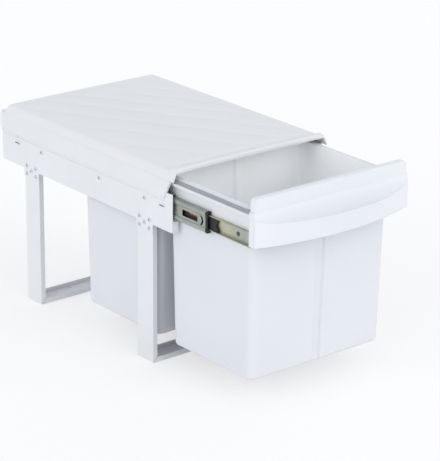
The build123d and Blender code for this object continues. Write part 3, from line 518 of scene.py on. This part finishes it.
class BINFRAME_OT_lid(bpy.types.Operator):
    """The lid: crowned top with soft diagonal ribs, raised front bead, slanting skirts"""
    bl_idname = "binframe.lid"
    bl_label = "Lid"

    def cover(self, form, material):
        """The ribbed top, a band around it, and skirts down to the feet at the sides and the rear."""
        mesh = bmesh.new()
        bmesh.ops.create_grid(mesh, x_segments=LID_GRID[0], y_segments=LID_GRID[1], size=1.0)
        shares = {}
        for vert in mesh.verts:
            share = (vert.co.x, (vert.co.y + 1.0) / 2)
            shares[vert] = share
            vert.co = form.point(*share, 0.0)
            vert.co.z += form.relief(vert.co.x, vert.co.y)
        rim = [edge for edge in mesh.edges if edge.is_boundary]
        corners = []
        ring = rim
        for drop in (LID_LIP, inf):
            grown = bmesh.ops.extrude_edge_only(mesh, edges=ring)["geom"]
            for vert in picked(grown, bmesh.types.BMVert):
                known = [edge.other_vert(vert) for edge in vert.link_edges if edge.other_vert(vert) in shares]
                source = min(known, key=lambda other: (other.co - vert.co).length)
                share = shares[source]
                vert.co = form.point(*share, min(drop, form.height(source.co.y)))
                if abs(share[0]) > 1.0 - NEAR and share[1] > 1.0 - NEAR:
                    corners += [edge for edge in vert.link_edges if edge.other_vert(vert) is source]
                shares[vert] = share
            outer = [edge for edge in picked(grown, bmesh.types.BMEdge) if edge.is_boundary]
            ring = [edge for edge in outer if not all(shares[vert][1] < NEAR for vert in edge.verts)]
        bmesh.ops.recalc_face_normals(mesh, faces=mesh.faces)
        round_off(mesh, rim + corners, form.sizes.lid_round, segments=3, clamp=True)
        lid = piece_from(mesh, "lid_cover", "frame", material, "lid")
        give_wall(lid, form.sizes.lid_wall, offset=-1.0)
        ease = lid.modifiers.new("eased edges", "BEVEL")
        ease.width = LID_EASE
        ease.segments = 2
        ease.limit_method = "ANGLE"
        ease.angle_limit = LID_EASE_ANGLE

    def bosses(self, form, panel_top, material):
        """The bosses over the lid's screws, from the panels' flanges up into the top's wall."""
        mesh = bmesh.new()
        tall = form.foot + LID_EDGE_RISE - panel_top - form.sizes.lid_wall / 2
        quarters = {}
        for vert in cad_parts["lid_screws"].data.vertices:
            quarters.setdefault((vert.co.x > 0, vert.co.y > form.middle), []).append(vert.co)
        for points in quarters.values():
            x, y = [(min(values) + max(values)) / 2
                    for values in ([point[axis] for point in points] for axis in (0, 1))]
            middle = Matrix.Translation((x, y, panel_top + tall / 2 + BOSS_LIFT))
            bmesh.ops.create_cone(mesh, cap_ends=True, segments=BOSS_SIDES, radius1=BOSS_RADIUS,
                                  radius2=BOSS_RADIUS, depth=tall, matrix=middle)
        piece_from(mesh, "lid_bosses", "frame", material, "lid")

    def execute(self, context):
        sizes = context.scene.bin_frame_sizes
        panel_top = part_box("left_top_rail")[1][2]
        form = LidForm(sizes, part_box("lid"), panel_top)
        material = moulded("lid plastic", context.scene.bin_frame_colours.lid, sizes.soft_edge / 2,
                           grain=700.0, depth=0.00005, gloss=0.40)
        self.cover(form, material)
        self.bosses(form, panel_top, material)
        return {"FINISHED"}


class BINFRAME_OT_sheet_steel(bpy.types.Operator):
    """Powder coat on panels, rails, legs, tie bar and carriers, and the grey rim strips"""
    bl_idname = "binframe.sheet_steel"
    bl_label = "Sheet steel"

    def execute(self, context):
        colours = context.scene.bin_frame_colours
        edge_radius = context.scene.bin_frame_sizes.sheet_edge
        coat = powder_coat("white powder coat", colours.coat, edge_radius)
        dress(coat, both("side_panel", "top_rail", "carrier_rail"))
        dress(coat, ["front_leg_frame", "rear_leg_frame", "rear_tie_bar"])
        dress(coat, ["carrier_front_bar", "carrier_middle_bar", "carrier_rear_bar"])
        dress(powder_coat("grey rim strip", colours.strip, edge_radius), both("rim_strip"))
        return {"FINISHED"}


class BINFRAME_OT_slides(bpy.types.Operator):
    """Plating on the slides, their balls and cages, and the black and copper-coloured pieces"""
    bl_idname = "binframe.slides"
    bl_label = "Slides"

    def middle_member(self, side, material):
        """The rolled middle member: joggled races, a web and a raised pad with window and curved slot."""
        name = side + "_slide_middle"
        low, high = [Vector(corner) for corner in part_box(name)]
        outer_face, inward = (low.x, 1.0) if side == "left" else (high.x, -1.0)
        axis, half, reach = (low.z + high.z) / 2, (high.z - low.z) / 2, high.x - low.x
        front, rear = low.y, high.y

        def place(depth, y, rise):
            return Vector((outer_face + inward * depth, y, axis + rise))

        def box(y0, y1, rise):
            return [(y0, -rise), (y1, -rise), (y1, rise), (y0, rise)]

        def loop(points, depth, radius):
            """A closed outline with rounded corners, as edges only."""
            verts = [mesh.verts.new(place(depth, front + y, rise)) for y, rise in points]
            area = mesh.faces.new(verts)
            before = set(mesh.edges) - set(area.edges)
            if radius:
                round_off(mesh, verts, radius, segments=4, affect="VERTICES")
            edges = [edge for edge in mesh.edges if edge not in before]
            bmesh.ops.delete(mesh, geom=[face for face in mesh.faces if face.edges[0] in edges],
                             context="FACES_ONLY")
            return edges

        mesh = bmesh.new()
        pad_box = box(PAD_FRONT, PAD_REAR, PAD_HALF)
        ring = loop(pad_box, WEB_DEPTH, PAD_CORNER)
        outer = loop(box(0.0, rear - front, WEB_HALF), WEB_DEPTH, 0.0)
        top = loop(pad_box, PAD_DEPTH, PAD_CORNER)
        window = loop(box(WINDOW_FRONT, WINDOW_REAR, WINDOW_HALF), PAD_DEPTH, WINDOW_CORNER)
        slot = loop(SLOT_OUTLINE, PAD_DEPTH, SLOT_CORNER)
        for edges in (outer + ring, top + window + slot):
            bmesh.ops.triangle_fill(mesh, use_beauty=True, use_dissolve=False, edges=edges)
        walls = bmesh.ops.extrude_edge_only(mesh, edges=top)["geom"]
        bmesh.ops.translate(mesh, vec=(inward * (WEB_DEPTH - PAD_DEPTH), 0.0, 0.0),
                            verts=picked(walls, bmesh.types.BMVert))
        edge_rise = half - MEMBER_SHEET / 2
        profile = [(WEB_DEPTH, RACE_FOOT), (RACE_DEPTH, RACE_SEAT), (RACE_DEPTH, half - RACE_EDGE),
                   (MEMBER_SHEET / 2, edge_rise), (reach, edge_rise)]
        for sign in (-1.0, 1.0):
            points = [mesh.verts.new(place(depth, front, sign * rise)) for depth, rise in profile]
            edges = [mesh.edges.new(pair) for pair in zip(points, points[1:])]
            grown = bmesh.ops.extrude_edge_only(mesh, edges=edges)["geom"]
            bmesh.ops.translate(mesh, vec=(0.0, rear - front, 0.0), verts=picked(grown, bmesh.types.BMVert))
            for point, radius in zip(points[1:], RACE_BENDS):
                bend = [edge for edge in point.link_edges
                        if abs(edge.verts[0].co.y - edge.verts[1].co.y) > LENGTHWAYS]
                round_off(mesh, bend, radius, segments=5)
        piece = piece_from(mesh, name + "_rolled", name, material, name, smooth=False)
        give_wall(piece, MEMBER_SHEET, offset=0.0)

    def execute(self, context):
        colours = context.scene.bin_frame_colours
        edge_radius = context.scene.bin_frame_sizes.sheet_edge
        # The plain zinc gets a painted highlight on its edges.
        zinc = plated("zinc plating", colours.zinc, shaded(colours.zinc, 0.86), edge_radius)
        dress(zinc, both("slide_outer"))
        for side in SIDES:
            self.middle_member(side, zinc)
        # The yellow zinc gets painted shade on its edges, which are darker.
        yellow = plated("yellow zinc", colours.yellow_zinc, colours.zinc, edge_radius, patch=18.0,
                        painted_edge_light_or_shade=0.45)
        dress(yellow, both("slide_inner"))
        cage = plated("cage strip", shaded(colours.zinc, 0.8), colours.zinc, edge_radius, patch=60.0)
        dress(cage, both("outer_ball_cage", "inner_ball_cage"))
        ball = bare_metal("ball steel", colours.ball, gloss=0.08, edge_radius=FINE_EDGE)
        dress(ball, both("outer_balls", "inner_balls"))
        black = moulded("black plastic", colours.black, edge_radius, grain=500.0, depth=0.00006, gloss=0.42)
        dress(black, both("slide_bumper", "release_lever", "rear_stop"))
        spring = bare_metal("spring strip", colours.copper, gloss=0.28, edge_radius=FINE_EDGE)
        dress(spring, both("lever_spring"))
        return {"FINISHED"}


class BINFRAME_OT_fasteners(bpy.types.Operator):
    """Metal of the rivets and screws, with painted shade on the inner slides' rivets"""
    bl_idname = "binframe.fasteners"
    bl_label = "Fasteners"

    def execute(self, context):
        colours = context.scene.bin_frame_colours
        rivet = bare_metal("rivet aluminium", colours.rivet, gloss=0.34, edge_radius=RIVET_EDGE)
        dress(rivet, both("leg_rivets", "slide_rivets") + ["tie_bar_rivets"])
        # Painted shade: the inner slides' rivet heads dark, to look like the shade inside a screw hole.
        dark = bare_metal("rivet painted as shaded hole", shaded(colours.zinc, 0.3), gloss=0.4, edge_radius=RIVET_EDGE)
        dress(dark, both("inner_slide_rivets"))
        screw = bare_metal("screw steel", colours.zinc, gloss=0.3, edge_radius=SCREW_EDGE)
        dress(screw, ["lid_screws", "fascia_screws"])
        return {"FINISHED"}


class BINFRAME_OT_mouldings(bpy.types.Operator):
    """Plastic of the handle front and the two bins"""
    bl_idname = "binframe.mouldings"
    bl_label = "Mouldings"

    def execute(self, context):
        colours = context.scene.bin_frame_colours
        soft_edge = context.scene.bin_frame_sizes.soft_edge
        handle = moulded("handle plastic", colours.handle, soft_edge * 1.4, grain=1100.0, depth=0.00002,
                         gloss=0.30)
        dress(handle, ["fascia"])
        for name in ("front_bin", "rear_bin"):
            plastic = bin_plastic(name.replace("_", " ") + " plastic", colours.bin, colours.bin_inside_painted_light,
                                  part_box(name), soft_edge)
            dress(plastic, [name])
        return {"FINISHED"}


class BINFRAME_OT_stage(bpy.types.Operator):
    """Pale floor, soft studio light and the camera at the photograph's place"""
    bl_idname = "binframe.stage"
    bl_label = "Stage"

    def lay_floor(self, scene, glow):
        """A floor that is partly plain white to the camera, and takes the soft shadow in the rest."""
        mesh = bmesh.new()
        bmesh.ops.create_grid(mesh, x_segments=1, y_segments=1, size=FLOOR_HALF,
                              matrix=Matrix.Translation((0.0, 0.0, cad_box[0][2] - FLOOR_GAP)))
        data = bpy.data.meshes.new("floor")
        mesh.to_mesh(data)
        mesh.free()
        floor = bpy.data.objects.new("floor", data)
        scene.collection.objects.link(floor)
        paint = Paint("pale floor")
        camera_ray, glossy_ray, clear_ray = [
            paint.node("ShaderNodeLightPath", output=name)
            for name in ("Is Camera Ray", "Is Glossy Ray", "Is Transmission Ray")]
        direct = (camera_ray + glossy_ray + clear_ray).clamped()
        matt = paint.node("ShaderNodeBsdfDiffuse", inputs={"Color": (*scene.bin_frame_colours.floor, 1.0)})
        white = paint.node("ShaderNodeEmission", inputs={"Color": WHITE, "Strength": 1.0})
        paint.close(paint.node("ShaderNodeMixShader", inputs={0: direct * glow, 1: matt, 2: white}))
        data.materials.append(paint.material)

    def light_sky(self, scene, stage):
        """Even light from all around, at its full strength to the camera alone."""
        world = bpy.data.worlds.new("studio")
        scene.world = world
        world.use_nodes = True
        tree = world.node_tree
        background = next(node for node in tree.nodes if node.type == "BACKGROUND")
        background.inputs["Color"].default_value = (*stage.sky, 1.0)
        rays = tree.nodes.new("ShaderNodeLightPath")
        strength = tree.nodes.new("ShaderNodeMapRange")
        strength.inputs["To Min"].default_value = stage.ambient
        strength.inputs["To Max"].default_value = 1.0
        tree.links.new(rays.outputs["Is Camera Ray"], strength.inputs["Value"])
        tree.links.new(strength.outputs["Result"], background.inputs["Strength"])

    def hang_lamp(self, scene, name, strength, azimuth, elevation):
        """A very soft light from far away, from this side and height."""
        light = bpy.data.lights.new(name, "SUN")
        light.energy = strength
        light.angle = LAMP_ANGLE
        light.color = LAMP_TINT
        lamp = bpy.data.objects.new(name, light)
        side, height = radians(azimuth), radians(elevation)
        toward = Vector((sin(side) * cos(height), -cos(side) * cos(height), sin(height)))
        lamp.location = LAMP_DISTANCE * toward
        lamp.rotation_euler = (-toward).to_track_quat("-Z", "Y").to_euler()
        scene.collection.objects.link(lamp)

    def place_camera(self, scene, focal_length):
        """The camera as fitted to the photograph."""
        lens = bpy.data.cameras.new("camera")
        lens.lens = focal_length
        lens.sensor_width = SENSOR_WIDTH
        lens.clip_end = CLIP_END
        camera = bpy.data.objects.new("camera", lens)
        ahead = Vector((-sin(CAMERA_YAW) * cos(CAMERA_PITCH), cos(CAMERA_YAW) * cos(CAMERA_PITCH),
                        -sin(CAMERA_PITCH)))
        level_right = Vector((cos(CAMERA_YAW), sin(CAMERA_YAW), 0.0))
        level_up = level_right.cross(ahead)
        across = level_right * cos(CAMERA_ROLL) + level_up * sin(CAMERA_ROLL)
        up = level_up * cos(CAMERA_ROLL) - level_right * sin(CAMERA_ROLL)
        rows = [(*row, 0.0) for row in (across, up, -ahead)]
        camera.matrix_world = Matrix((*rows, (*CAMERA_PLACE, 1.0))).transposed()
        scene.collection.objects.link(camera)
        scene.camera = camera

    def execute(self, context):
        scene = context.scene
        stage = scene.bin_frame_stage
        self.lay_floor(scene, stage.glow)
        self.light_sky(scene, stage)
        self.hang_lamp(scene, "front light", stage.front, *FRONT_LIGHT)
        self.hang_lamp(scene, "left light", stage.left, *LEFT_LIGHT)
        self.hang_lamp(scene, "right light", stage.right, *RIGHT_LIGHT)
        self.place_camera(scene, stage.lens)
        scene.view_settings.view_transform = "Standard"
        return {"FINISHED"}


OPERATORS = (BINFRAME_OT_lid, BINFRAME_OT_sheet_steel, BINFRAME_OT_slides, BINFRAME_OT_fasteners,
             BINFRAME_OT_mouldings, BINFRAME_OT_stage)


class BINFRAME_PT_tools(bpy.types.Panel):
    """The steps that dress the bin frame"""
    bl_idname = "BINFRAME_PT_tools"
    bl_label = "Bin frame"
    bl_space_type = "VIEW_3D"
    bl_region_type = "UI"
    bl_category = "Bin frame"

    def draw(self, context):
        for operator in OPERATORS:
            self.layout.operator(operator.bl_idname)


GROUPS = (("bin_frame_colours", BinFrameColours), ("bin_frame_sizes", BinFrameSizes),
          ("bin_frame_stage", BinFrameStage))


def register():
    for name, group in GROUPS:
        bpy.utils.register_class(group)
        setattr(bpy.types.Scene, name, PointerProperty(type=group))
    for made in OPERATORS + (BINFRAME_PT_tools,):
        bpy.utils.register_class(made)


def unregister():
    for made in reversed(OPERATORS + (BINFRAME_PT_tools,)):
        bpy.utils.unregister_class(made)
    for name, group in reversed(GROUPS):
        delattr(bpy.types.Scene, name)
        bpy.utils.unregister_class(group)


def main():
    register()
    for operator in (bpy.ops.binframe.stage, bpy.ops.binframe.lid, bpy.ops.binframe.sheet_steel,
                     bpy.ops.binframe.slides, bpy.ops.binframe.fasteners, bpy.ops.binframe.mouldings):
        if operator() != {"FINISHED"}:
            raise RuntimeError("a step didn't finish")


if __name__ == "__main__":
    main()
